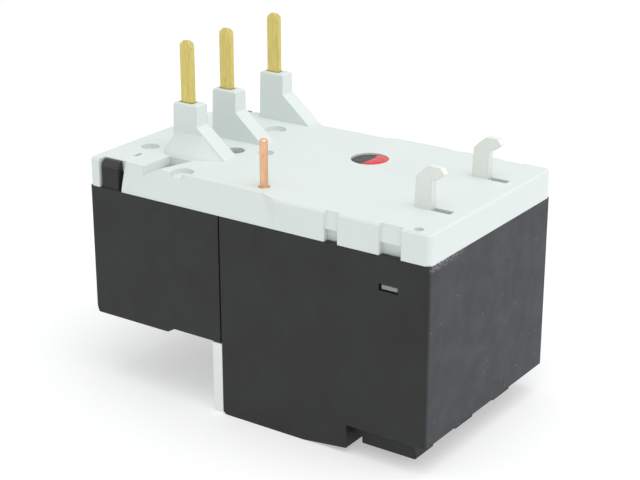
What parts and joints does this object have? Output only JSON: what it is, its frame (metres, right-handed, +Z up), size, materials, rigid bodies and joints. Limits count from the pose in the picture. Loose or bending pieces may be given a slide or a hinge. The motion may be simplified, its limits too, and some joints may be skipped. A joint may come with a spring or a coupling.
{
  "type": "thermal overload relay",
  "caption": "Plug-on thermal overload relay with upright contact blades, snap hooks, setting dial, reset and stop buttons and a slide-operated trip mechanism.",
  "frame": {"origin": "centre of the bounding box on the plane that the relay stands on", "axes": "+X across the width, right seen from the operating front; +Y from the operating front to the mounting back; +Z up towards the contactor"},
  "size_m": [0.045, 0.079, 0.0693],
  "materials": {
    "white_plastic": "satin moulded",
    "black_plastic": "fine moulded grain",
    "grey_plastic": "fine moulded grain",
    "screw_black": "black oxide",
    "red_lacquer": "glossy lacquer",
    "copper": "bare copper, dull",
    "brass": "stamped, lightly stained",
    "steel": "zinc plated",
    "spring_steel": "drawn wire",
    "bimetal": "rolled strip",
    "heater_strip": "rolled resistance strip",
    "glass_sleeve": "woven glass fibre",
    "carrier_plastic": "moulded",
    "slide_plastic": "moulded",
    "flag_green": "moulded",
    "dial_grey": "moulded",
    "reset_blue": "moulded",
    "stop_red": "moulded"
  },
  "bodies": {
    "root": {"top_plate": "white_plastic", "front_housing": "black_plastic", "rear_housing": "black_plastic", "terminal_cover": "grey_plastic", "front_fascia": "grey_plastic", "calibration_screw": "screw_black", "sealing_lacquer": "red_lacquer", "coil_link_wire": "copper", "blade_lead_1": "copper", "blade_lead_2": "copper", "blade_lead_3": "copper", "coil_terminal": "brass", "contact_blade_1": "brass", "contact_blade_2": "brass", "contact_blade_3": "brass", "main_terminal_1": "brass", "main_terminal_2": "brass", "main_terminal_3": "brass", "aux_rail_1": "brass", "aux_rail_2": "brass", "aux_rail_3": "brass", "aux_rail_4": "brass", "main_terminal_screws": "steel", "main_clamp_plates": "steel", "aux_terminal_screws": "steel", "aux_clamp_plates": "steel", "lever_pin": "steel", "setting_pin": "steel", "carrier_spring": "spring_steel", "reset_spring": "spring_steel", "stop_spring": "spring_steel", "bimetal_1": "bimetal", "bimetal_2": "bimetal", "bimetal_3": "bimetal", "heater_winding_1": "heater_strip", "heater_winding_2": "heater_strip", "heater_winding_3": "heater_strip", "heater_sleeve_1": "glass_sleeve", "heater_sleeve_2": "glass_sleeve", "heater_sleeve_3": "glass_sleeve"},
    "current_dial": {"current_dial": "dial_grey", "setting_cam": "carrier_plastic"},
    "setting_lever": {"setting_lever": "carrier_plastic", "compensation_strip": "bimetal"},
    "reset_plunger": {"reset_plunger": "carrier_plastic"},
    "reset_button": {"reset_button": "reset_blue"},
    "stop_button": {"stop_button": "stop_red"},
    "trip_slide": {"trip_slide": "slide_plastic"},
    "differential_slide": {"differential_slide": "slide_plastic"},
    "trip_lever": {"trip_lever": "slide_plastic"},
    "contact_carrier": {"contact_carrier": "carrier_plastic", "nc_contact_bridge": "brass", "no_contact_bridge": "brass", "bridge_springs": "spring_steel", "trip_flag": "flag_green"}
  },
  "joints": [
    {"name": "current_dial", "type": "hinge", "parent": "root", "child": "current_dial", "pos_m": [-0.009, -0.0375, 0.0334], "axis": [0, 1, 0], "range_deg": [-135, 135]},
    {"name": "setting_lever", "type": "hinge", "parent": "root", "child": "setting_lever", "pos_m": [-0.0018, -0.0283, 0.0344], "axis": [0, 0, 1], "range_deg": [-4.66, 4.66]},
    {"name": "reset_plunger", "type": "slide", "parent": "root", "child": "reset_plunger", "axis": [0, 1, 0], "range_m": [0, 0.0022], "stiffness_N_per_m": 400, "springref_m": -0.0015, "deforming": ["reset_spring"]},
    {"name": "reset_button", "type": "hinge", "parent": "reset_plunger", "child": "reset_button", "pos_m": [0.0062, -0.0375, 0.0334], "axis": [0, 1, 0], "range_deg": [0, 90]},
    {"name": "stop_button", "type": "slide", "parent": "root", "child": "stop_button", "axis": [0, 1, 0], "range_m": [0, 0.002], "stiffness_N_per_m": 300, "springref_m": -0.0015, "deforming": ["stop_spring"]},
    {"name": "trip_slide", "type": "slide", "parent": "root", "child": "trip_slide", "axis": [-1, 0, 0], "range_m": [0, 0.002], "stiffness_N_per_m": 60, "springref_m": -0.001},
    {"name": "differential_slide", "type": "slide", "parent": "root", "child": "differential_slide", "axis": [-1, 0, 0], "range_m": [0, 0.002]},
    {"name": "trip_lever", "type": "hinge", "parent": "root", "child": "trip_lever", "pos_m": [-0.0077, 0.0075, 0.03165], "axis": [0, 0, 1], "range_deg": [0, 6.17]},
    {"name": "contact_carrier", "type": "slide", "parent": "root", "child": "contact_carrier", "axis": [1, 0, 0], "range_m": [0, 0.002], "deforming": ["carrier_spring"]}
  ],
  "couplings": [
    {"joint": "setting_lever", "follows": "current_dial", "ratio": 0.034477},
    {"joint": "differential_slide", "follows": "trip_slide", "ratio": 1},
    {"joint": "trip_lever", "follows": "trip_slide", "rad_per_m": 53.763},
    {"joint": "contact_carrier", "follows": "trip_slide", "ratio": 1}
  ]
}
